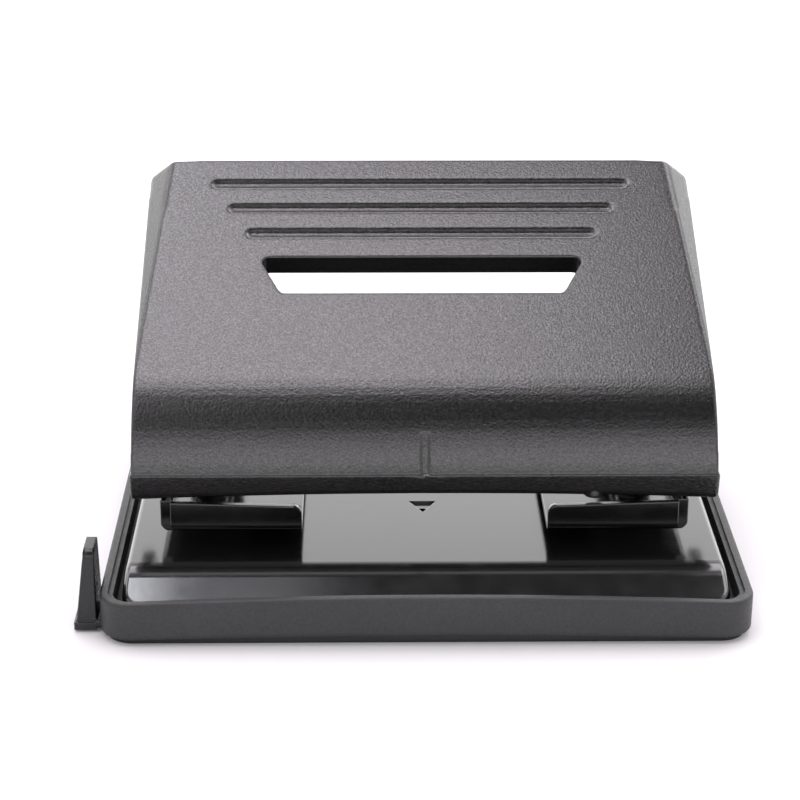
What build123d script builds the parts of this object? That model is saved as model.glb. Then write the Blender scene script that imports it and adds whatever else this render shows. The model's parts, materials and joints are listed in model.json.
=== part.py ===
"""Two-head desktop hole punch, in millimetres.

The origin is at the middle of the tray's footprint, on the desk. X runs to the right, Y runs
away from the paper side and Z runs up. Places along Y that belong to the front edge are given
as a distance behind it and turned into Y by behind().
"""

import os
from math import cos, radians, sin, tan

from build123d import *

# Whole object
BASE_WIDTH = 116.0
BASE_DEPTH = 98.0
BASE_CORNER = 6.0
RIM_HEIGHT = 7.8
RIM_CROWN = 1.4
RIM_STEP = 0.5
RIM_OUTER_WALL = 1.5
RIM_WALL = 2.4
WALL_FOOT = 0.7
WALL_FOOT_ARCH = 0.9
PLINTH_INSET = 1.2
PLINTH_WALL = 2.6
FLOOR_TOP = 3.8
FLOOR_BOTTOM = 2.6

# Base plate
PLATE_TOP = 9.2
PLATE_SHEET = 1.2
PLATE_HALF_WIDTH = 54.2
PLATE_FRONT = 4.0
PLATE_BACK = 94.0
PLATE_CORNER = 3.6
PLATE_SKIRT_BOTTOM = 4.2
SLOPE_FOOT = 5.4
SLOPE_FOOT_HEIGHT = 6.7
SLOPE_HEAD = 12.5
SLOPE_HEAD_RADIUS = 14.0
EDGE_ROLL = 1.1

# Hinge between the plate and the tray
HINGE_BEAD_RADIUS = 0.7
HINGE_BEAD_X = 34.0
HINGE_BEAD_LENGTH = 10.0
HINGE_Z = 6.2

# Punch heads
PIN_SPACING = 80.0
PIN_RADIUS = 2.75
PIN_BEHIND = 42.0
PAPER_STOP = 12.0
PAPER_GAP = 2.4
SHEET = 1.3
BRACKET_INNER = 22.5
BRACKET_OUTER = 48.4
FLANGE_BEHIND = 21.9
FLANGE_TOP = 17.7
FLANGE_TAPER = 0.8
FLANGE_END_GAP = 1.9
BEND_RADIUS = 1.8
TOP_LEG_UNDERSIDE = 22.4
TOP_LEG_HALF_WIDTH = 5.2
FOOT_OUTER = 34.5
FOOT_LENGTH = 12.0
RIVET_RADIUS = 1.5

# Punch pin trim
NECK_RADIUS = 2.2
CLIP_RADIUS = 4.3
SPRING_WIRE_RADIUS = 0.35
SPRING_RADIUS = 3.55
SPRING_TURNS = 4

# Lever
PIVOT_BEHIND = 30.0
PIVOT_HEIGHT = 25.0
PIVOT_RADIUS = 2.0
HEAD_RADIUS = 3.5
HEAD_CENTRE_HEIGHT = 30.0
PRESSER_GAP = 0.3
FRAME_SHEET = 1.3
ARM_INNER = 45.4

# Handle cover
COVER_HALF_WIDTH = 53.4
COVER_WALL = 2.2
COVER_SLOPE = 32.0
COVER_FRONT_SLOPE = 76.0
COVER_ROLL_RADIUS = 25.0
COVER_BACK = 77.9
COVER_TOP = 66.6
ROLL_START_BEHIND = 33.0
LIP_BOTTOM = 17.8
LIP_TOP = 23.0
LIP_ARCH = 1.1
LIP_PROUD = 0.3
LIP_LEAN = 0.9
LIP_ROUND = 1.3
BEVEL_WIDTH = 4.7
WINDOW_DOWN = 29.35
WINDOW_DEPTH = 8.7
WINDOW_WIDE = 62.3
WINDOW_NARROW = 53.5
WINDOW_COLLAR = 5.0
GROOVES = ((6.3, 81.6), (12.6, 74.7), (18.95, 67.5))
GROOVE_WIDTH = 2.2
GROOVE_DEPTH = 0.6
MARK_WIDTH = 1.65
MARK_TOP = 30.2
MARK_DEPTH = 0.35
NUB_X = 31.0

# Paper guide
GUIDE_TAB_INNER = 58.7
GUIDE_TAB_HEIGHT = 15.7
GUIDE_BAR_BOTTOM = 1.0
GUIDE_BAR_TOP = 2.3
GUIDE_BAR_FRONT = 5.6
GUIDE_BAR_BACK = 13.6

# Fits
SHAFT_FIT = 0.06
RUNNING_GAP = 0.4

MIDDLE_LEG_BOTTOM = PLATE_TOP + PAPER_GAP
MIDDLE_LEG_TOP = MIDDLE_LEG_BOTTOM + SHEET
TOP_LEG_TOP = TOP_LEG_UNDERSIDE + SHEET
STOP_BEHIND = PIN_BEHIND + PAPER_STOP
HEAD_TOP = HEAD_CENTRE_HEIGHT + HEAD_RADIUS
PRESSER_UNDERSIDE = HEAD_TOP + PRESSER_GAP
PRESSER_TOP = PRESSER_UNDERSIDE + FRAME_SHEET
CLIP_TOP = TOP_LEG_UNDERSIDE - 0.3
CLIP_BOTTOM = CLIP_TOP - 0.7
WASHER_BOTTOM = CLIP_BOTTOM - 0.5
PIN_BOTTOM = MIDDLE_LEG_BOTTOM + 0.15


def behind(distance):
    """Y of a point that lies this far behind the tray's front edge."""
    return distance - BASE_DEPTH / 2


PIN_Y = behind(PIN_BEHIND)
PIVOT_Y = behind(PIVOT_BEHIND)
HINGE_Y = behind(PLATE_BACK) + 0.9


def block(x0, x1, y0, y1, z0, z1):
    """Box between two corners."""
    size = Box(x1 - x0, y1 - y0, z1 - z0)
    return Pos((x0 + x1) / 2, (y0 + y1) / 2, (z0 + z1) / 2) * size


def rod_z(x, y, z0, z1, radius):
    """Upright cylinder."""
    return Pos(x, y, (z0 + z1) / 2) * Cylinder(radius, z1 - z0)


def rod_x(x0, x1, y, z, radius):
    """Cylinder along X."""
    return Pos((x0 + x1) / 2, y, z) * Rot(0, 90, 0) * Cylinder(radius, abs(x1 - x0))


def slab_x(points, x0, x1):
    """Polygon in the YZ plane, given as (behind, z) points, extruded from x0 to x1."""
    outline = Polyline(*[(0, behind(d), z) for d, z in points], close=True)
    return Pos(x0, 0, 0) * extrude(make_face(outline), x1 - x0, dir=(1, 0, 0))


def mirrored(shape):
    """The same piece on the left side."""
    return mirror(shape, about=Plane.YZ)


def both_sides(shape):
    """The piece and its mirror image."""
    return shape + mirrored(shape)


# ---------------------------------------------------------------- chip tray


def tray_block(inset, z0, z1):
    """Rounded rectangular block, drawn in from the tray's outline by the inset."""
    width = BASE_WIDTH - 2 * inset
    outline = RectangleRounded(width, BASE_DEPTH - 2 * inset, BASE_CORNER - inset)
    return Pos(0, 0, z0) * extrude(outline, z1 - z0)


def arched_bar(z_ends, rise, half_width):
    """Solid below a surface that rises from z_ends at the sides to its middle."""
    radius = (half_width**2 + rise**2) / (2 * rise)
    centre = z_ends + rise - radius
    return Pos(0, 0, centre) * Rot(90, 0, 0) * Cylinder(radius, 2 * BASE_DEPTH)


def crown(drop):
    """Everything below the rim's crowned top, lowered by the drop."""
    return arched_bar(RIM_HEIGHT - drop, RIM_CROWN, BASE_WIDTH / 2)


def guide_channel_ribs():
    """Two rails and two straps under the floor that carry the paper guide."""
    ribs = []
    for edge in (GUIDE_BAR_FRONT - 1.5, GUIDE_BAR_BACK + RUNNING_GAP):
        ribs.append(block(-57, 46, behind(edge), behind(edge + 1.1), 0.2, FLOOR_BOTTOM))
    for x in (-50, 20):
        front = behind(GUIDE_BAR_FRONT - 1.5)
        back = behind(GUIDE_BAR_BACK + 1.5)
        ribs.append(block(x, x + 5, front, back, 0.1, GUIDE_BAR_BOTTOM - 0.3))
    return ribs


def floor_ribs():
    """Cross of stiffening ribs under the floor, level with the wall's foot."""
    half_x = BASE_WIDTH / 2 - RIM_WALL
    half_y = BASE_DEPTH / 2 - RIM_WALL
    along = block(-half_x, half_x, -1.0, 1.0, 0, FLOOR_BOTTOM)
    return along + block(-1.0, 1.0, behind(GUIDE_BAR_BACK + 1.4), half_y, 0, FLOOR_BOTTOM)


def tray_wall():
    """Crowned outer wall with a rounded, arched foot, filled in down to the floor."""
    body = tray_block(0, 0, RIM_HEIGHT + RIM_CROWN) & crown(0)
    body -= arched_bar(WALL_FOOT, WALL_FOOT_ARCH, BASE_WIDTH / 2)
    top = body.faces().sort_by(Axis.Z)[-1]
    body = fillet(top.edges(), 0.5)
    foot = body.faces().sort_by(Axis.Z)[0]
    return fillet(foot.edges(), 0.9)


def chip_tray():
    body = tray_wall()
    body -= tray_block(RIM_OUTER_WALL, FLOOR_TOP, 12) - crown(RIM_STEP)
    body -= tray_block(RIM_WALL, FLOOR_TOP, 12)
    body -= tray_block(RIM_WALL, -1, FLOOR_BOTTOM)
    plinth = tray_block(PLINTH_INSET, 0, FLOOR_BOTTOM)
    body += plinth - tray_block(PLINTH_INSET + PLINTH_WALL, -1, FLOOR_BOTTOM)
    for rib in guide_channel_ribs() + [floor_ribs()]:
        body += rib
    y0 = behind(GUIDE_BAR_FRONT - RUNNING_GAP)
    y1 = behind(GUIDE_BAR_BACK + RUNNING_GAP)
    body -= block(-60, -50.5, y0, y1, GUIDE_BAR_BOTTOM - RUNNING_GAP, FLOOR_BOTTOM)
    body -= block(-60, -54.0, y0, y1 + 2, -1, FLOOR_BOTTOM)
    for x in (-HINGE_BEAD_X, HINGE_BEAD_X):
        half = HINGE_BEAD_LENGTH / 2 + 0.4
        body -= rod_x(x - half, x + half, HINGE_Y, HINGE_Z, HINGE_BEAD_RADIUS + 0.1)
    return body


# ---------------------------------------------------------------- base plate


def plate_block(inset):
    """Rolled block under the plate's surface, drawn in by the inset."""
    top = PLATE_TOP - inset
    bottom = PLATE_SKIRT_BOTTOM - (2 if inset else 0)
    depth = PLATE_BACK - PLATE_FRONT - 2 * inset
    outline = RectangleRounded(2 * (PLATE_HALF_WIDTH - inset), depth, PLATE_CORNER - inset)
    centre = behind((PLATE_FRONT + PLATE_BACK) / 2)
    body = Pos(0, centre, bottom) * extrude(outline, top - bottom)
    return body - slope_cutter(inset)


def slope_cutter(inset):
    """Wedge above the rolled-down front of the plate, with a soft turn at its head."""
    top = PLATE_TOP - inset
    steepness = (PLATE_TOP - SLOPE_FOOT_HEIGHT) / (SLOPE_HEAD - SLOPE_FOOT)
    far_front = -5.0
    points = [
        (far_front, top - (SLOPE_HEAD - far_front) * steepness),
        (SLOPE_HEAD, top),
        (SLOPE_HEAD + 12.0, top),
        (SLOPE_HEAD + 12.0, top + 10.0),
        (far_front, top + 10.0),
    ]
    cutter = slab_x(points, -PLATE_HALF_WIDTH - 5, PLATE_HALF_WIDTH + 5)
    head = cutter.edges().filter_by(Axis.X).sort_by_distance((0, behind(SLOPE_HEAD), top))[0]
    return fillet(head, SLOPE_HEAD_RADIUS)


def triangle_mark():
    """Shallow triangle that points to the front, on the line between the punches."""
    corners = [(-2.6, behind(41.2)), (2.6, behind(41.2)), (0, behind(36.2))]
    outline = make_face(Polyline(*corners, close=True))
    return Pos(0, 0, PLATE_TOP - 0.5) * extrude(outline, 1)


def rim_edges(body):
    """Edges round the top surface, where it turns down into the skirt."""
    tops = [face for face in body.faces() if face.normal_at().Z > 0.5]
    ends = (0.1, 0.5, 0.9)
    rim = []
    for edge in body.edges():
        points = [Vertex(*edge.position_at(share)) for share in ends]
        owners = [top for top in tops if all(point.distance_to(top) < 1e-4 for point in points)]
        if len(owners) == 1:
            rim.append(edge)
    return rim


def base_plate():
    plate = plate_block(0)
    plate = fillet(rim_edges(plate), EDGE_ROLL)
    plate -= plate_block(PLATE_SHEET)
    for x in (-PIN_SPACING / 2, PIN_SPACING / 2):
        plate -= rod_z(x, PIN_Y, 0, 12, PIN_RADIUS + 0.08)
    plate -= triangle_mark()
    plate -= rod_z(0, behind(38.2), 0, 12, 0.7)
    for x, y in rivet_places():
        plate -= rod_z(x, y, 0, 12, RIVET_RADIUS)
    for x in (-HINGE_BEAD_X, HINGE_BEAD_X):
        half = HINGE_BEAD_LENGTH / 2
        plate += rod_x(x - half, x + half, HINGE_Y, HINGE_Z, HINGE_BEAD_RADIUS)
        back = behind(PLATE_BACK)
        plate += block(x - half, x + half, back - 0.6, HINGE_Y, HINGE_Z - 0.4, HINGE_Z + 0.4)
    return plate


# ---------------------------------------------------------------- punch heads


def rivet_places():
    """Centres of the four rivets, two behind each paper stop."""
    y = behind(STOP_BEHIND + 6.5)
    return [(side * x, y) for side in (-1, 1) for x in (25.6, 31.6)]


def bracket_rivets():
    rivets = []
    tail_bottom = PLATE_TOP - PLATE_SHEET - 0.6
    for x, y in rivet_places():
        shank = rod_z(x, y, tail_bottom, PLATE_TOP + SHEET, RIVET_RADIUS)
        head = Pos(x, y, PLATE_TOP + SHEET + 0.45) * Cone(2.6, RIVET_RADIUS, 0.9)
        tail = rod_z(x, y, tail_bottom, PLATE_TOP - PLATE_SHEET, 2.3)
        rivets.append(shank + head + tail)
    return Compound(children=rivets)


def front_channel():
    """Guide leg with its front flange and the outer wall that carries the ear."""
    bottom = MIDDLE_LEG_BOTTOM
    front = behind(FLANGE_BEHIND)
    stop = behind(STOP_BEHIND)
    outer = BRACKET_OUTER
    solid = block(BRACKET_INNER, outer, front, stop, bottom, FLANGE_TOP)
    low = solid.edges().group_by(Axis.Z)[0]
    solid = fillet([low.sort_by(Axis.Y)[0], low.filter_by(Axis.Y).sort_by(Axis.X)[-1]], BEND_RADIUS)
    inner_front = front + SHEET
    solid -= block(BRACKET_INNER - 1, outer - SHEET, inner_front, stop + 1, MIDDLE_LEG_TOP, 30)
    solid -= block(outer - FLANGE_END_GAP, outer + 1, front - 1, inner_front - 0.2, bottom - 1, 30)
    return solid - flange_taper()


def flange_taper():
    """Wedge that lowers the flange's top edge towards the middle, with a round inner corner."""
    inner = BRACKET_INNER
    end = BRACKET_OUTER - FLANGE_END_GAP
    low = FLANGE_TOP - FLANGE_TAPER
    radius = 1.5
    cut = radius * (1 - cos(radians(45)))
    arc = ThreePointArc((inner, low - radius), (inner + cut, low - cut), (inner + radius, low))
    above = [(inner + radius, low), (end, FLANGE_TOP), (end, 30), (inner - 5, 30)]
    rest = Polyline(*above, (inner - 5, low - radius), (inner, low - radius))
    face = Rot(90, 0, 0) * make_face([arc] + list(rest.edges()))
    return Pos(0, behind(FLANGE_BEHIND) + 0.5, 0) * extrude(face, 1.0, both=True)


def right_bracket():
    """One folded sheet: foot, paper stop, guide leg, front flange, pivot ear and top leg."""
    stop = behind(STOP_BEHIND)
    solid = front_channel() + pivot_ear()
    foot = (BRACKET_INNER, FOOT_OUTER, stop)
    solid += block(*foot, stop + SHEET, PLATE_TOP, MIDDLE_LEG_TOP)
    solid += block(*foot, stop + FOOT_LENGTH, PLATE_TOP, PLATE_TOP + SHEET)
    x = PIN_SPACING / 2
    sides = (x - TOP_LEG_HALF_WIDTH, x + TOP_LEG_HALF_WIDTH)
    solid += block(*sides, stop - SHEET, stop, MIDDLE_LEG_TOP, TOP_LEG_TOP)
    leg = block(*sides, PIN_Y - 6.2, stop, TOP_LEG_UNDERSIDE, TOP_LEG_TOP)
    solid += fillet(leg.edges().filter_by(Axis.Z).group_by(Axis.Y)[0], 3.0)
    bend = solid.edges().filter_by(Axis.X).sort_by_distance((x, stop, TOP_LEG_TOP))[0]
    solid = fillet(bend, 1.2)
    solid -= rod_z(x, PIN_Y, PLATE_TOP, TOP_LEG_TOP + 1, PIN_RADIUS + SHAFT_FIT)
    solid -= rod_x(BRACKET_OUTER - 3, BRACKET_OUTER + 1, PIVOT_Y, PIVOT_HEIGHT, PIVOT_RADIUS)
    for rivet_x, y in rivet_places():
        solid -= rod_z(rivet_x, y, PLATE_TOP - 1, PLATE_TOP + SHEET, RIVET_RADIUS)
    return solid


def pivot_ear():
    """Upright side plate of the bracket with a round end about the pivot."""
    radius = 3.2
    front = FLANGE_BEHIND + SHEET - 0.2
    back = STOP_BEHIND - 4
    root = MIDDLE_LEG_TOP - 0.2
    outline = [
        (front, root),
        (front, FLANGE_TOP),
        (FLANGE_BEHIND + 3.8, FLANGE_TOP),
        (PIVOT_BEHIND - radius, 21.8),
        (PIVOT_BEHIND - radius, PIVOT_HEIGHT),
        (PIVOT_BEHIND + radius, PIVOT_HEIGHT),
        (PIVOT_BEHIND + 4.4, 20.6),
        (back, 16.0),
        (back, root),
    ]
    ear = slab_x(outline, BRACKET_OUTER - SHEET, BRACKET_OUTER)
    return ear + rod_x(BRACKET_OUTER - SHEET, BRACKET_OUTER, PIVOT_Y, PIVOT_HEIGHT, radius)


def right_pivot_pin():
    pin = rod_x(ARM_INNER - 1.4, BRACKET_OUTER + 0.2, PIVOT_Y, PIVOT_HEIGHT, PIVOT_RADIUS)
    head = rod_x(BRACKET_OUTER, BRACKET_OUTER + 1.2, PIVOT_Y, PIVOT_HEIGHT, 3.0)
    head = fillet(head.edges().group_by(Axis.X)[-1], 0.5)
    return pin + head


def right_pivot_ring():
    outer = rod_x(ARM_INNER - 1.2, ARM_INNER - 0.4, PIVOT_Y, PIVOT_HEIGHT, 3.2)
    ring = outer - rod_x(ARM_INNER - 2, ARM_INNER, PIVOT_Y, PIVOT_HEIGHT, PIVOT_RADIUS)
    mouth = block(ARM_INNER - 2, ARM_INNER, PIVOT_Y, PIVOT_Y + 4, PIVOT_HEIGHT - 1, PIVOT_HEIGHT + 1)
    return ring - mouth


# ---------------------------------------------------------------- punch pins

def right_punch_pin():
    x = PIN_SPACING / 2
    pin = rod_z(x, PIN_Y, PIN_BOTTOM, HEAD_CENTRE_HEIGHT, PIN_RADIUS)
    saddle = Pos(x, PIN_Y, PIN_BOTTOM - 3.2) * Rot(90, 0, 0) * Cylinder(4.2, 8)
    pin -= saddle
    neck = rod_z(x, PIN_Y, CLIP_BOTTOM, CLIP_TOP, PIN_RADIUS + 1)
    pin -= neck - rod_z(x, PIN_Y, CLIP_BOTTOM - 1, CLIP_TOP + 1, NECK_RADIUS)
    pin += rod_z(x, PIN_Y, HEAD_CENTRE_HEIGHT - 0.5, HEAD_CENTRE_HEIGHT, HEAD_RADIUS)
    dome = Pos(x, PIN_Y, HEAD_CENTRE_HEIGHT) * Sphere(HEAD_RADIUS)
    above = block(x - 5, x + 5, PIN_Y - 5, PIN_Y + 5, HEAD_CENTRE_HEIGHT, HEAD_TOP + 1)
    return pin + (dome & above)


def right_pin_clip():
    x = PIN_SPACING / 2
    ring = rod_z(x, PIN_Y, CLIP_BOTTOM, CLIP_TOP, CLIP_RADIUS)
    ring -= rod_z(x, PIN_Y, CLIP_BOTTOM - 1, CLIP_TOP + 1, NECK_RADIUS)
    return ring - block(x - 1.6, x + 1.6, PIN_Y, PIN_Y + 6, CLIP_BOTTOM - 1, CLIP_TOP + 1)


def right_pin_washer():
    x = PIN_SPACING / 2
    ring = rod_z(x, PIN_Y, WASHER_BOTTOM, CLIP_BOTTOM, CLIP_RADIUS)
    return ring - rod_z(x, PIN_Y, WASHER_BOTTOM - 1, CLIP_TOP, PIN_RADIUS)


def right_pin_spring():
    """Round wire coil between the guide leg and the washer."""
    z0 = MIDDLE_LEG_TOP + SPRING_WIRE_RADIUS + 0.02
    z1 = WASHER_BOTTOM - SPRING_WIRE_RADIUS - 0.02
    path = Helix((z1 - z0) / SPRING_TURNS, z1 - z0, SPRING_RADIUS)
    start = Plane(origin=path @ 0, z_dir=path % 0)
    coil = sweep(start * Circle(SPRING_WIRE_RADIUS), path=path, is_frenet=True)
    return Pos(PIN_SPACING / 2, PIN_Y, z0) * coil


# ---------------------------------------------------------------- lever frame


def lever_frame():
    """Steel channel: a cross plate over both pins and an arm down to each pivot."""
    back = PIVOT_BEHIND + 18.0
    plate_front = PIVOT_BEHIND + 4.5
    outer = ARM_INNER + FRAME_SHEET
    plate_y = (behind(plate_front), behind(back))
    frame = block(-outer, outer, *plate_y, PRESSER_UNDERSIDE, PRESSER_TOP)
    arm = [
        (PIVOT_BEHIND - 3.4, PIVOT_HEIGHT),
        (PIVOT_BEHIND + 1.5, PIVOT_HEIGHT - 3.1),
        (PIVOT_BEHIND + 3.4, PIVOT_HEIGHT),
        (back, PRESSER_UNDERSIDE - 2.0),
        (back, PRESSER_TOP),
        (plate_front, PRESSER_TOP),
        (plate_front - 2.4, PRESSER_TOP - 2.2),
    ]
    side = slab_x(arm, ARM_INNER, outer)
    side += rod_x(ARM_INNER, outer, PIVOT_Y, PIVOT_HEIGHT, 3.4)
    frame += both_sides(side)
    bore = rod_x(ARM_INNER - 1, outer + 1, PIVOT_Y, PIVOT_HEIGHT, PIVOT_RADIUS + SHAFT_FIT)
    frame -= both_sides(bore)
    flange_front = plate_y[1] - FRAME_SHEET
    frame += block(-30, 30, flange_front, plate_y[1], PRESSER_UNDERSIDE - 2.5, PRESSER_TOP)
    for x, y in screw_places():
        frame -= rod_z(x, y, PRESSER_UNDERSIDE - 1, PRESSER_TOP + 1, 1.3)
    return frame


def screw_places():
    return [(side * 22.0, behind(PIVOT_BEHIND + 9.0)) for side in (-1, 1)]


def frame_screws():
    screws = []
    for x, y in screw_places():
        head = rod_z(x, y, PRESSER_UNDERSIDE - 1.2, PRESSER_UNDERSIDE, 2.5)
        head = fillet(head.edges().group_by(Axis.Z)[0], 0.5)
        slot_z = (PRESSER_UNDERSIDE - 1.5, PRESSER_UNDERSIDE - 0.6)
        slot = block(x - 2, x + 2, y - 0.35, y + 0.35, *slot_z)
        slot += block(x - 0.35, x + 0.35, y - 2, y + 2, *slot_z)
        shank = rod_z(x, y, PRESSER_UNDERSIDE, PRESSER_TOP + 4.0, 1.25)
        screws.append(head + shank - slot)
    return Compound(children=screws)


# ---------------------------------------------------------------- handle cover

SLOPE_DIR = (cos(radians(COVER_SLOPE)), sin(radians(COVER_SLOPE)))
SLOPE_NORMAL = (-SLOPE_DIR[1], SLOPE_DIR[0])
ROLL_START_HEIGHT = COVER_TOP - (COVER_BACK - ROLL_START_BEHIND) * tan(radians(COVER_SLOPE))
ROLL_CENTRE = (
    ROLL_START_BEHIND - COVER_ROLL_RADIUS * SLOPE_NORMAL[0],
    ROLL_START_HEIGHT - COVER_ROLL_RADIUS * SLOPE_NORMAL[1],
)


def roll_point(slope):
    """Point of the rolled front where the surface has this slope in degrees."""
    angle = radians(slope)
    return (
        ROLL_CENTRE[0] - COVER_ROLL_RADIUS * sin(angle),
        ROLL_CENTRE[1] + COVER_ROLL_RADIUS * cos(angle),
    )


def at_slope(down):
    """Point on the flat upper face, this far down from its back edge."""
    return (COVER_BACK - down * SLOPE_DIR[0], COVER_TOP - down * SLOPE_DIR[1])


def yz(point):
    """Turn a (behind, z) pair into a point of the YZ plane's own axes."""
    return (behind(point[0]), point[1])


def cover_outline(drop):
    """Side outline of the cover as a face; the open underside is lowered by the drop."""
    back_foot = (COVER_BACK - SLOPE_NORMAL[0] * 9.0, COVER_TOP - SLOPE_NORMAL[1] * 9.0)
    start = roll_point(COVER_SLOPE)
    middle = roll_point((COVER_SLOPE + COVER_FRONT_SLOPE) / 2)
    end = roll_point(COVER_FRONT_SLOPE)
    low = [end, (end[0] + LIP_LEAN, LIP_BOTTOM - drop), (38.0, LIP_BOTTOM - drop)]
    low += [(72.0, 46.0 - drop), (back_foot[0], back_foot[1] - drop), back_foot, at_slope(0)]
    if drop == 0:
        low.remove(back_foot)
    roll = ThreePointArc(yz(start), yz(middle), yz(end))
    rest = Polyline(*[yz(point) for point in low], yz(start))
    return Plane.YZ * make_face([roll] + list(rest.edges()))


def bevel_plane(inset):
    """Plane of the right side facet: wide at the free end, running out near the roll."""
    side = COVER_HALF_WIDTH
    top_edge = Vector(side - BEVEL_WIDTH, *yz(at_slope(0)))
    low_back = (COVER_BACK - SLOPE_NORMAL[0] * 4.8, COVER_TOP - SLOPE_NORMAL[1] * 4.8)
    low_edge = Vector(side, *yz(low_back))
    run_out = Vector(side, *yz(roll_point(COVER_SLOPE + 3)))
    normal = (low_edge - top_edge).cross(run_out - top_edge).normalized()
    if normal.X < 0:
        normal = normal * -1
    return Plane(origin=top_edge - normal * inset, z_dir=normal)


def trimmed_block(outline, half_width, inset):
    """Extrude an outline across the cover and trim both side facets off it."""
    body = extrude(outline, half_width, dir=(1, 0, 0), both=True)
    plane = bevel_plane(inset)
    origin, normal = plane.origin, plane.z_dir
    other = Plane(origin=(-origin.X, origin.Y, origin.Z), z_dir=(-normal.X, normal.Y, normal.Z))
    for cut in (plane, other):
        body = split(body, bisect_by=cut, keep=Keep.BOTTOM)
    return body


def on_top_face(down, sink=0.0):
    """Work plane on the flat upper face, with X across and Y up the slope."""
    place = at_slope(down)
    normal = Vector(0, *SLOPE_NORMAL)
    origin = Vector(0, *yz(place)) - normal * sink
    return Plane(origin=origin, x_dir=(1, 0, 0), z_dir=normal)


def window_outline(grow):
    """Trapezoid of the see-through window, wide side towards the free end."""
    depth = WINDOW_DEPTH / 2 + grow
    wide = WINDOW_WIDE / 2 + grow
    narrow = WINDOW_NARROW / 2 + grow
    corners = [(-wide, depth), (wide, depth), (narrow, -depth), (-narrow, -depth)]
    outline = make_face(Polyline(*corners, close=True))
    return fillet(outline.vertices(), 1.3 + grow * 0.5)


def groove_cutter(length):
    """Rod with round ends that sinks into the surface to cut one grip groove."""
    half = GROOVE_WIDTH / 2
    radius = (half**2 + GROOVE_DEPTH**2) / (2 * GROOVE_DEPTH)
    reach = length / 2 - half
    rod = Rot(0, 90, 0) * Cylinder(radius, 2 * reach)
    rod += Pos(reach, 0, 0) * Sphere(radius) + Pos(-reach, 0, 0) * Sphere(radius)
    return Pos(0, 0, radius - GROOVE_DEPTH) * rod


def lip_band(outline):
    """Slightly proud band along the lower edge of the front and the sides."""
    reach = COVER_HALF_WIDTH + LIP_PROUD
    grown = offset(outline, LIP_PROUD, kind=Kind.INTERSECTION)
    skin = extrude(grown, reach, dir=(1, 0, 0), both=True)
    front = block(-reach, reach, behind(15), behind(34), LIP_BOTTOM, LIP_TOP)
    side_band = [
        (ROLL_START_BEHIND, LIP_BOTTOM),
        (ROLL_START_BEHIND, LIP_TOP),
        (36.0, LIP_TOP),
        (70.3, 50.1),
        (74.2, 47.6),
        (72.0, 46.0),
        (38.0, LIP_BOTTOM),
    ]
    return skin & (front + slab_x(side_band, -reach, reach))


def round_lip(body):
    """Arch the lip's lower edge and round it along the front and both sides."""
    body -= arched_bar(LIP_BOTTOM, LIP_ARCH, COVER_HALF_WIDTH + LIP_PROUD)
    low = body.edges().filter_by(lambda edge: edge.center().Z < LIP_BOTTOM + LIP_ARCH + 0.1)
    front = low.sort_by(Axis.Y)[0]
    sides = low.filter_by(Axis.Y).sort_by(Axis.X)
    return fillet([front, sides[0], sides[-1]], LIP_ROUND)


def frame_carriers():
    """Ribs and screw bosses that reach down from the cover to the lever frame."""
    front = behind(PIVOT_BEHIND + 5.0)
    back = behind(PIVOT_BEHIND + 16.0)
    carriers = [block(x - 0.8, x + 0.8, front, back, PRESSER_TOP, 60) for x in (-34, -11, 11, 34)]
    carriers += [rod_z(x, y, PRESSER_TOP, 60, 3.2) for x, y in screw_places()]
    return carriers[0] + carriers[1:]


def centre_mark(outline):
    """Narrow tongue sunk into the front above the lip, midway between the punches."""
    skin = outline - offset(outline, -MARK_DEPTH, kind=Kind.INTERSECTION)
    mark = extrude(skin, MARK_WIDTH / 2, dir=(1, 0, 0), both=True)
    return mark & block(-5, 5, behind(15), behind(28), LIP_TOP, MARK_TOP)


def handle_cover():
    outline = cover_outline(0)
    outer = trimmed_block(outline, COVER_HALF_WIDTH, 0)
    hollow_outline = offset(cover_outline(30.0), -COVER_WALL, kind=Kind.INTERSECTION)
    hollow = trimmed_block(hollow_outline, COVER_HALF_WIDTH - COVER_WALL, COVER_WALL)
    body = round_lip(outer + lip_band(outline))
    collar = extrude(on_top_face(WINDOW_DOWN) * window_outline(1.6), -WINDOW_COLLAR)
    body = body - hollow + collar
    body += frame_carriers() & outer
    body -= extrude(on_top_face(WINDOW_DOWN, -5) * window_outline(0), -20)
    for down, length in GROOVES:
        body -= on_top_face(down).location * groove_cutter(length)
    for x, y in screw_places():
        body -= rod_z(x, y, PRESSER_TOP - 1, PRESSER_TOP + 4.2, 1.25)
    body -= centre_mark(outline)
    nub = rod_z(NUB_X, behind(24.0), LIP_BOTTOM + 0.4, LIP_BOTTOM + 1.4, 1.8)
    return body + nub


# ---------------------------------------------------------------- paper guide


def paper_guide():
    """Ruler bar with an upright end tab outside the tray's left wall."""
    inner = -GUIDE_TAB_INNER
    outer = inner - 3.9
    bar_y = (behind(GUIDE_BAR_FRONT), behind(GUIDE_BAR_BACK))
    bar = block(inner - 0.5, 34, *bar_y, GUIDE_BAR_BOTTOM, GUIDE_BAR_TOP)
    side = [(6.0, 0.4), (6.0, GUIDE_TAB_HEIGHT), (12.4, GUIDE_TAB_HEIGHT), (15.2, 0.4)]
    tab = slab_x(side, outer, inner)
    top_outer = inner - 1.9
    lean = [(outer, 0), (top_outer, GUIDE_TAB_HEIGHT), (top_outer, 20), (-70, 20), (-70, 0)]
    outside = Rot(90, 0, 0) * make_face(Polyline(*lean, close=True))
    tab -= extrude(outside, 60, both=True)
    corner = (inner - 1, behind(6.0), GUIDE_TAB_HEIGHT)
    tab = fillet(tab.edges().filter_by(Axis.X).sort_by_distance(corner)[0], 1.6)
    foot = block(outer - 0.2, inner, behind(5.6), behind(15.6), 0.3, 1.8)
    return bar + tab + foot


# ---------------------------------------------------------------- files


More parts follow.
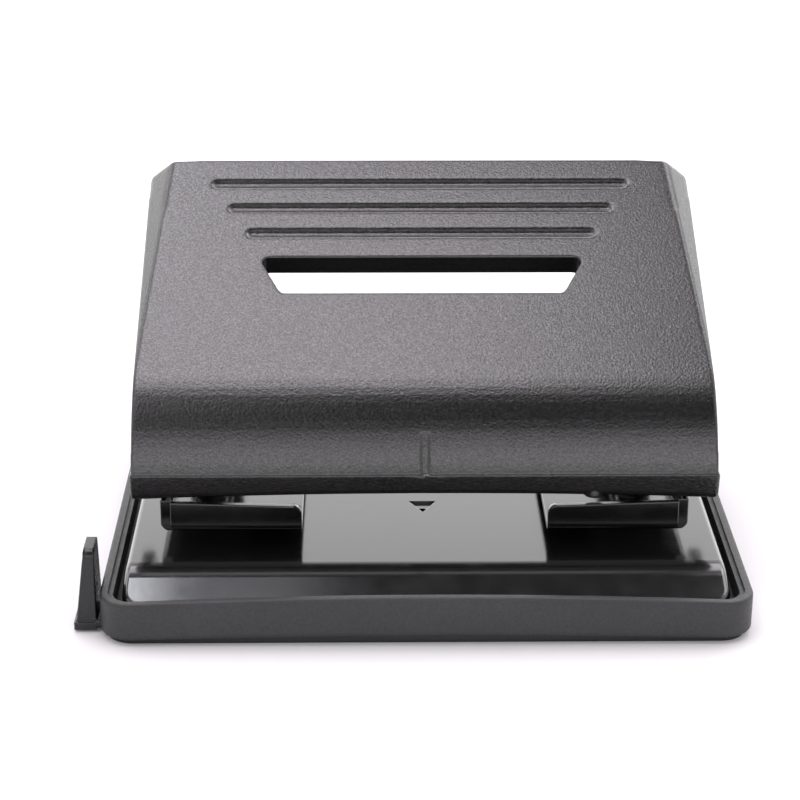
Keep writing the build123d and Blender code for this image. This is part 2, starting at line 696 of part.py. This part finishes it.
def all_nodes():
    """Every node's name and shape."""
    nodes = {
        "chip_tray": chip_tray(),
        "paper_guide": paper_guide(),
        "base_plate": base_plate(),
        "bracket_rivets": bracket_rivets(),
        "lever_frame": lever_frame(),
        "frame_screws": frame_screws(),
        "handle_cover": handle_cover(),
    }
    paired = {
        "bracket": right_bracket(),
        "pivot_pin": right_pivot_pin(),
        "pivot_ring": right_pivot_ring(),
        "punch_pin": right_punch_pin(),
        "pin_clip": right_pin_clip(),
        "pin_washer": right_pin_washer(),
        "pin_spring": right_pin_spring(),
    }
    for name, shape in paired.items():
        nodes["right_" + name] = shape
        nodes["left_" + name] = mirrored(shape)
    return nodes


if __name__ == "__main__":
    os.makedirs("parts", exist_ok=True)
    for name, shape in all_nodes().items():
        export_step(shape, "parts/" + name + ".step")
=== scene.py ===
"""Looks for the desktop hole punch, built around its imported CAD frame. Everything is in metres."""

import json
from math import pi, radians

import bmesh
import bpy
from mathutils import Matrix, Vector

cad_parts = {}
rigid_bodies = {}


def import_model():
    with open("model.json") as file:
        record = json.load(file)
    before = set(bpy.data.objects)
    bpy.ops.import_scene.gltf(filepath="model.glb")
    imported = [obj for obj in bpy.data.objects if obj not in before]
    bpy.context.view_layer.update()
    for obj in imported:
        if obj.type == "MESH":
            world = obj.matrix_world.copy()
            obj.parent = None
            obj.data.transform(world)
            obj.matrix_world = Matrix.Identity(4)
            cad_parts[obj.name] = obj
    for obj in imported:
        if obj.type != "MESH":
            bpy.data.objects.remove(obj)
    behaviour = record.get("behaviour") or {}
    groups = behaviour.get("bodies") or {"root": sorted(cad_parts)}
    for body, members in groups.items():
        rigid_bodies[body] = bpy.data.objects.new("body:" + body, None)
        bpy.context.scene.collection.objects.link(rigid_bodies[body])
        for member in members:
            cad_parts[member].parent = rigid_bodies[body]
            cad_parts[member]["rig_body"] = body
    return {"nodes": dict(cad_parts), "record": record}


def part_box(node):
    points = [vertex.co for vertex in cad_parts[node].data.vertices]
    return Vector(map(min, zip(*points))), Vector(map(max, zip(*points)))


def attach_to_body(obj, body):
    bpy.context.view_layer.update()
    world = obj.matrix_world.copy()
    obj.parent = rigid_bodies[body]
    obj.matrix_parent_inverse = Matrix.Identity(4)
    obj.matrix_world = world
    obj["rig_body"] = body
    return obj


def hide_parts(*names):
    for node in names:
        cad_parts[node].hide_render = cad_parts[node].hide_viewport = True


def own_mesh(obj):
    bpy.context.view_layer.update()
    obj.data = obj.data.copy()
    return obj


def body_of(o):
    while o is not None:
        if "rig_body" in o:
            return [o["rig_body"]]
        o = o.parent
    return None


MM = 0.001

# Pieces
SEAM = 0.002 * MM  # points of a CAD surface that are closer than this are one point
COVER_VOXEL = 0.25 * MM
COVER_KEEP = 0.14  # share of the cover's fine triangles that is kept
BRACKET_ROUND = 0.2 * MM
GUIDE_ROUND = 0.3 * MM
SHARP_ANGLE = radians(28)

# Bands of the handle cover with a larger round, measured inwards from its outermost faces
FACET_BAND = 11 * MM
LIP_BAND = 9 * MM
GROOVE_BAND = 12 * MM
CORNER_BAND = 7 * MM
CORNER_FADE = 4 * MM

# Stage
CEILING = 0.8
FLOOR_HALF = 6.0
AIM = (0, 0, 0.02)
WHITE = (1.0, 0.95, 1.0)
DAYLIGHT = (0.92, 0.93, 1.0)
HORIZON_GLOW = [(0.0, 1.0), (0.3, 0.9), (0.5, 0.08), (1.0, 0.06)]
WALL_GLOW = [(0.0, 0.0), (0.25, 0.1), (0.45, 0.7), (1.0, 0.7)]

# Camera, with its angles in degrees
CAMERA_PLACE = (-0.0106, -0.3994, 0.1866)
CAMERA_PAN = -0.92
CAMERA_DIP = 21.78
CAMERA_ROLL = 0.17
CAMERA_LENS = 100.8
CAMERA_SENSOR = 36.0

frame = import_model()
nodes = frame["nodes"]
slots = {part["node"]: part["material_slot"] for part in frame["record"]["subparts"]}
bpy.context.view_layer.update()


# ---------------------------------------------------------------- node material helpers


def set_stops(color_ramp, stops):
    """Fill a colour ramp with (position, value or colour) stops."""
    while len(color_ramp.elements) < len(stops):
        color_ramp.elements.new(0.5)
    for element, (position, value) in zip(color_ramp.elements, stops):
        element.position = position
        colour = value if isinstance(value, tuple) else (value, value, value)
        element.color = (*colour, 1.0)


class Shader:
    """A small wrapper that adds and links nodes of one material."""

    def __init__(self, name):
        self.material = bpy.data.materials.new(name)
        self.material.use_nodes = True
        self.tree = self.material.node_tree
        self.bsdf = self.tree.nodes["Principled BSDF"]

    def node(self, kind, **values):
        """New node, with input values and settings by name."""
        made = self.tree.nodes.new(kind)
        for key, value in values.items():
            if key in made.inputs:
                made.inputs[key].default_value = value
            else:
                setattr(made, key, value)
        return made

    def link(self, source, target):
        self.tree.links.new(source, target)

    def set(self, **values):
        """Uniform values of the surface."""
        for key, value in values.items():
            self.bsdf.inputs[key.replace("_", " ")].default_value = value

    def drive(self, **sources):
        """Varying values of the surface."""
        for key, source in sources.items():
            self.link(source, self.bsdf.inputs[key.replace("_", " ")])

    def place(self, scale=(1, 1, 1)):
        """Object coordinates, scaled."""
        coords = self.node("ShaderNodeTexCoord")
        mapping = self.node("ShaderNodeMapping", Scale=scale)
        self.link(coords.outputs["Object"], mapping.inputs["Vector"])
        return mapping.outputs["Vector"]

    def noise(self, scale, detail=3.0, roughness=0.5, vector=None):
        """Noise with so many features to the metre."""
        made = self.node("ShaderNodeTexNoise", Scale=scale, Detail=detail, Roughness=roughness)
        self.link(vector or self.place(), made.inputs["Vector"])
        return made.outputs["Fac"]

    def pebbles(self, scale):
        """Soft round cells, with so many to the metre."""
        made = self.node("ShaderNodeTexVoronoi", feature="SMOOTH_F1")
        made.inputs["Scale"].default_value = scale
        made.inputs["Smoothness"].default_value = 0.6
        self.link(self.place(), made.inputs["Vector"])
        return made.outputs["Distance"]

    def ramp(self, source, stops):
        """Colour ramp over (position, value or colour) stops."""
        made = self.node("ShaderNodeValToRGB")
        set_stops(made.color_ramp, stops)
        self.link(source, made.inputs["Fac"])
        return made.outputs["Color"]

    def multiply(self, first, second):
        made = self.node("ShaderNodeMix", data_type="RGBA", blend_type="MULTIPLY")
        made.inputs["Factor"].default_value = 1.0
        self.link(first, made.inputs["A"])
        self.link(second, made.inputs["B"])
        return made.outputs["Result"]

    def soft_edge(self, radius):
        """Normal that rounds off the sharp edges of the surface."""
        made = self.node("ShaderNodeBevel", samples=6)
        made.inputs["Radius"].default_value = radius
        return made.outputs["Normal"]

    def bump(self, height, distance, strength, normal):
        """Relief on top of another normal."""
        made = self.node("ShaderNodeBump", Distance=distance, Strength=strength)
        self.link(height, made.inputs["Height"])
        self.link(normal, made.inputs["Normal"])
        return made.outputs["Normal"]


# ---------------------------------------------------------------- materials


def grained_plastic():
    """Spark-eroded grain of the handle: small soft pebbles whose tops catch the light."""
    shader = Shader("grained_plastic")
    shader.set(IOR=1.5)
    tone = shader.ramp(shader.noise(45.0), [(0.3, (0.005, 0.0048, 0.005)), (0.7, (0.007, 0.0067, 0.007))])
    speck = shader.ramp(shader.noise(3400.0, detail=2.0), [(0.35, 0.85), (0.65, 1.15)])
    rough = shader.ramp(shader.noise(1500.0, detail=2.0), [(0.3, 0.18), (0.7, 0.27)])
    sparkle = shader.ramp(shader.noise(3100.0, detail=2.0, roughness=0.7), [(0.36, 0.64), (0.64, 1.08)])
    grain = shader.noise(2500.0, roughness=0.6)
    fine = shader.bump(grain, 0.06 * MM, 0.8, shader.soft_edge(0.4 * MM))
    relief = shader.bump(shader.pebbles(2100.0), 0.04 * MM, 0.5, fine)
    shader.drive(Base_Color=shader.multiply(tone, speck), Roughness=rough)
    shader.drive(Specular_IOR_Level=sparkle, Normal=relief)
    return shader.material


def matte_plastic():
    """Tray plastic: flatter and duller than the handle, with painted shade that darkens its corners and the
    gap under its foot.
    """
    shader = Shader("matte_plastic")
    shader.set(IOR=1.48)
    tone = shader.ramp(shader.noise(60.0), [(0.3, (0.021, 0.021, 0.022)), (0.7, (0.027, 0.027, 0.028))])
    speck = shader.ramp(shader.noise(2600.0, detail=2.0, roughness=0.7), [(0.36, 0.75), (0.64, 1.2)])
    # painted shade: ambient occlusion darkens the colour in corners, recesses and under the foot
    openness = shader.node("ShaderNodeAmbientOcclusion", samples=8, Distance=2 * MM)
    painted_crevice_shade = shader.ramp(openness.outputs["AO"], [(0.35, 0.08), (0.75, 1.0)])
    rough = shader.ramp(shader.noise(1300.0, detail=2.0), [(0.3, 0.42), (0.7, 0.55)])
    relief = shader.bump(shader.noise(2600.0), 0.06 * MM, 1.0, shader.soft_edge(0.3 * MM))
    # colour = tone times grain speck times the painted crevice shade
    colour = shader.multiply(shader.multiply(tone, speck), painted_crevice_shade)
    shader.drive(Base_Color=colour, Roughness=rough, Normal=relief)
    return shader.material


def smooth_plastic():
    """Paper guide plastic: smooth with faint moulding marks."""
    shader = Shader("smooth_plastic")
    shader.set(IOR=1.5)
    tone = shader.ramp(shader.noise(70.0), [(0.3, (0.004, 0.004, 0.0045)), (0.7, (0.006, 0.006, 0.0065))])
    rough = shader.ramp(shader.noise(400.0, detail=2.0), [(0.3, 0.2), (0.7, 0.3)])
    marks = shader.bump(shader.noise(500.0), 0.02 * MM, 0.4, shader.soft_edge(0.3 * MM))
    shader.drive(Base_Color=tone, Roughness=rough, Normal=marks)
    return shader.material


def enamel(name, low, high, tone, wave):
    """Black enamel on steel: glossy, with a faint orange peel of the given height."""
    shader = Shader(name)
    shader.set(IOR=1.55, Coat_Weight=0.6, Coat_Roughness=0.12)
    light = tone * 1.35
    colour = shader.ramp(shader.noise(50.0), [(0.3, (tone, tone, tone)), (0.7, (light, light, light * 1.03))])
    rough = shader.ramp(shader.noise(240.0), [(0.3, low), (0.7, high)])
    peel = shader.bump(shader.noise(380.0, detail=2.0), wave, 0.5, shader.soft_edge(0.25 * MM))
    shader.drive(Base_Color=colour, Roughness=rough, Normal=peel)
    return shader.material


def bare_metal(name, tone, low, high):
    """Bare or plated steel with fine machining streaks."""
    shader = Shader(name)
    shader.set(Metallic=1.0)
    streak = shader.noise(900.0, vector=shader.place((1.0, 1.0, 6.0)))
    dark = tone * 0.82
    colour = shader.ramp(streak, [(0.3, (dark, dark, dark)), (0.7, (tone, tone, tone * 1.01))])
    rough = shader.ramp(streak, [(0.3, low), (0.7, high)])
    grinding = shader.bump(streak, 0.01 * MM, 0.4, shader.soft_edge(0.1 * MM))
    shader.drive(Base_Color=colour, Roughness=rough, Normal=grinding)
    return shader.material


materials = {
    "handle_plastic": grained_plastic(),
    "tray_plastic": matte_plastic(),
    "guide_plastic": smooth_plastic(),
    "black_steel": enamel("plate_enamel", 0.13, 0.19, 0.003, 0.02 * MM),
    "bracket_steel": enamel("bracket_enamel", 0.14, 0.22, 0.0015, 0.03 * MM),
    "frame_steel": enamel("frame_enamel", 0.28, 0.38, 0.012, 0.03 * MM),
    "hardened_steel": bare_metal("ground_steel", 0.55, 0.16, 0.26),
    "spring_steel": bare_metal("spring_steel", 0.32, 0.22, 0.34),
    "zinc_steel": bare_metal("zinc_steel", 0.6, 0.24, 0.38),
}

for node, slot in slots.items():
    shape = nodes[node]
    shape.data.materials.clear()
    shape.data.materials.append(materials[slot])


# ---------------------------------------------------------------- pieces


def copied(node, name):
    """A new piece with the closed surface of a CAD node, which it replaces."""
    mesh = nodes[node].data.copy()
    work = bmesh.new()
    work.from_mesh(mesh)
    bmesh.ops.remove_doubles(work, verts=work.verts, dist=SEAM)
    work.to_mesh(mesh)
    work.free()
    piece = bpy.data.objects.new(name, mesh)
    bpy.context.scene.collection.objects.link(piece)
    return piece


def attach(piece, node):
    """The piece rides, and takes its finish, as the CAD node does that it stands for."""
    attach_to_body(piece, body_of(nodes[node])[0])
    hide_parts(node)


def apply_modifiers(piece):
    """Turn the piece's modifiers into plain mesh."""
    shaped = piece.evaluated_get(bpy.context.evaluated_depsgraph_get())
    mesh = bpy.data.meshes.new_from_object(shaped)
    piece.modifiers.clear()
    piece.data = mesh


def soften(piece, rounds, group=""):
    """Average neighbouring points, which turns sharp edges into small rounds."""
    smooth = piece.modifiers.new("soften", "SMOOTH")
    smooth.factor = 0.5
    smooth.iterations = rounds
    smooth.vertex_group = group


def moulded(node, name, voxel):
    """Moulded shell: a fine even mesh with slightly softened edges."""
    piece = copied(node, name)
    remesh = piece.modifiers.new("even", "REMESH")
    remesh.mode = "VOXEL"
    remesh.voxel_size = voxel
    remesh.use_smooth_shade = True
    soften(piece, 2)
    apply_modifiers(piece)
    return piece


def handle_shell():
    """Moulded cover; its facets, rear edge and grip grooves have a larger round than the rest."""
    piece = moulded("handle_cover", "handle_shell", COVER_VOXEL)
    low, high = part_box("handle_cover")
    facet_from = high[0] - FACET_BAND
    lip_clear = low[2] + LIP_BAND
    grooves_from = high[2] - GROOVE_BAND
    corners_from = high[2] - CORNER_BAND
    round_edges = piece.vertex_groups.new(name="round_edges")
    rear_corners = piece.vertex_groups.new(name="rear_corners")
    for vertex in piece.data.vertices:
        x, _, z = vertex.co
        on_facet = abs(x) > facet_from and z > lip_clear
        if on_facet or z > grooves_from:
            round_edges.add([vertex.index], 1.0, "REPLACE")
        outwards = (abs(x) - facet_from) / CORNER_FADE
        if z > corners_from and outwards > 0:
            rear_corners.add([vertex.index], min(outwards, 1.0), "REPLACE")
    soften(piece, 16, round_edges.name)
    soften(piece, 70, rear_corners.name)
    thin = piece.modifiers.new("thin", "DECIMATE")
    thin.ratio = COVER_KEEP
    apply_modifiers(piece)
    attach(piece, "handle_cover")


def pressed(node, name, radius):
    """Folded or stamped piece: the CAD shape with a small round along each sharp edge."""
    piece = copied(node, name)
    bevel = piece.modifiers.new("rounded", "BEVEL")
    bevel.width = radius
    bevel.segments = 3
    bevel.limit_method = "ANGLE"
    bevel.angle_limit = SHARP_ANGLE
    bevel.use_clamp_overlap = False
    bevel.harden_normals = True
    apply_modifiers(piece)
    attach(piece, node)


def return_spring(side):
    """Coil around its punch pin: a copy of the CAD spring that rides with its body."""
    node = side + "_pin_spring"
    piece = copied(node, side + "_return_spring")
    attach(piece, node)
    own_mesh(piece)


handle_shell()
for side in ("left", "right"):
    pressed(side + "_bracket", side + "_punch_head", BRACKET_ROUND)
    return_spring(side)
pressed("paper_guide", "guide_ruler", GUIDE_ROUND)


# ---------------------------------------------------------------- stage


def paper_floor():
    """Wide pale paper under the punch."""
    shader = Shader("studio_paper")
    shader.set(Roughness=0.7)
    tone = shader.ramp(shader.noise(6.0), [(0.3, (0.83, 0.82, 0.83)), (0.7, (0.85, 0.84, 0.85))])
    shader.drive(Base_Color=tone)
    mesh = bpy.data.meshes.new("studio_floor")
    corners = [(x * FLOOR_HALF, y * FLOOR_HALF, 0) for x, y in ((-1, -1), (1, -1), (1, 1), (-1, 1))]
    mesh.from_pydata(corners, [], [(0, 1, 2, 3)])
    floor = bpy.data.objects.new("studio_floor", mesh)
    bpy.context.scene.collection.objects.link(floor)
    mesh.materials.append(shader.material)


def sky_ramp(tree, source, stops):
    """Brightness of the sky over (position, value) stops."""
    ramp = tree.nodes.new("ShaderNodeValToRGB")
    set_stops(ramp.color_ramp, stops)
    tree.links.new(source, ramp.inputs["Fac"])
    return ramp.outputs["Color"]


def sky_math(tree, operation, *sources):
    """Result of a calculation with one or two sources."""
    made = tree.nodes.new("ShaderNodeMath")
    made.operation = operation
    for place, source in enumerate(sources):
        tree.links.new(source, made.inputs[place])
    return made.outputs["Value"]


def studio_sky():
    """White near the horizon and up the side walls, dark over the punch."""
    world = bpy.data.worlds.new("studio_world")
    world.use_nodes = True
    tree = world.node_tree
    coords = tree.nodes.new("ShaderNodeTexCoord")
    split = tree.nodes.new("ShaderNodeSeparateXYZ")
    tree.links.new(coords.outputs["Generated"], split.inputs["Vector"])
    horizon = sky_ramp(tree, split.outputs["Z"], HORIZON_GLOW)
    walls = sky_ramp(tree, sky_math(tree, "ABSOLUTE", split.outputs["X"]), WALL_GLOW)
    glow = sky_math(tree, "MAXIMUM", horizon, walls)
    tree.links.new(glow, tree.nodes["Background"].inputs["Color"])
    bpy.context.scene.world = world


def soft_box(name, place, target, size, radiance, colour=(1, 1, 1)):
    """Rectangular light of a given brightness, turned towards its target."""
    data = bpy.data.lights.new(name, "AREA")
    data.shape = "RECTANGLE"
    data.size, data.size_y = size
    data.energy = radiance * size[0] * size[1] * pi
    data.color = colour
    lamp = bpy.data.objects.new(name, data)
    lamp.location = place
    direction = Vector(target) - Vector(place)
    lamp.rotation_euler = direction.to_track_quat("-Z", "Y").to_euler()
    bpy.context.scene.collection.objects.link(lamp)


def overhead(name, x, y, size, radiance, colour, height=CEILING):
    """Soft box that shines straight down."""
    soft_box(name, (x, y, height), (x, y, 0), size, radiance, colour)


def studio_lights():
    """Big boxes for the soft light; the smaller ones each give one reflection on the punch."""
    soft_box("back_wall", (0.2, 1.3, 0.45), (0.2, 0, 0.4), (3.8, 0.9), 1.35)
    overhead("top_box", -0.1, 0.03, (0.5, 0.36), 4.5, WHITE)
    overhead("top_left", -0.28, -0.4, (0.3, 0.3), 1.5, WHITE, height=0.75)
    soft_box("side_left", (-0.5, 0.36, 0.55), AIM, (0.4, 0.4), 2.0, WHITE)
    soft_box("side_right", (0.42, 0.32, 0.6), AIM, (0.4, 0.4), 3.2, WHITE)
    overhead("rear_top", 0.08, 0.78, (0.9, 0.5), 3.6, WHITE)
    soft_box("front_box", (0.0, -1.4, 0.65), AIM, (1.8, 0.9), 1.3, WHITE)
    soft_box("left_box", (-0.9, -0.1, 0.6), AIM, (0.7, 0.9), 0.6)
    soft_box("right_box", (0.9, -0.1, 0.6), AIM, (0.7, 0.9), 0.7)
    overhead("window", -0.19, 0.275, (0.12, 0.2), 9.0, DAYLIGHT)
    overhead("curtain", -0.07, 0.275, (0.06, 0.2), 1.2, DAYLIGHT)


def camera():
    """Long lens, looking down on the paper side."""
    data = bpy.data.cameras.new("camera")
    data.sensor_width = CAMERA_SENSOR
    data.lens = CAMERA_LENS
    data.clip_start = 0.01
    eye = bpy.data.objects.new("camera", data)
    pan = Matrix.Rotation(radians(CAMERA_PAN), 4, "Z")
    tilt = Matrix.Rotation(radians(90 - CAMERA_DIP), 4, "X")
    roll = Matrix.Rotation(radians(CAMERA_ROLL), 4, "Z")
    eye.matrix_world = Matrix.Translation(CAMERA_PLACE) @ pan @ tilt @ roll
    bpy.context.scene.collection.objects.link(eye)
    bpy.context.scene.camera = eye


camera()
paper_floor()
studio_sky()
studio_lights()
bpy.context.scene.view_settings.view_transform = "Standard"
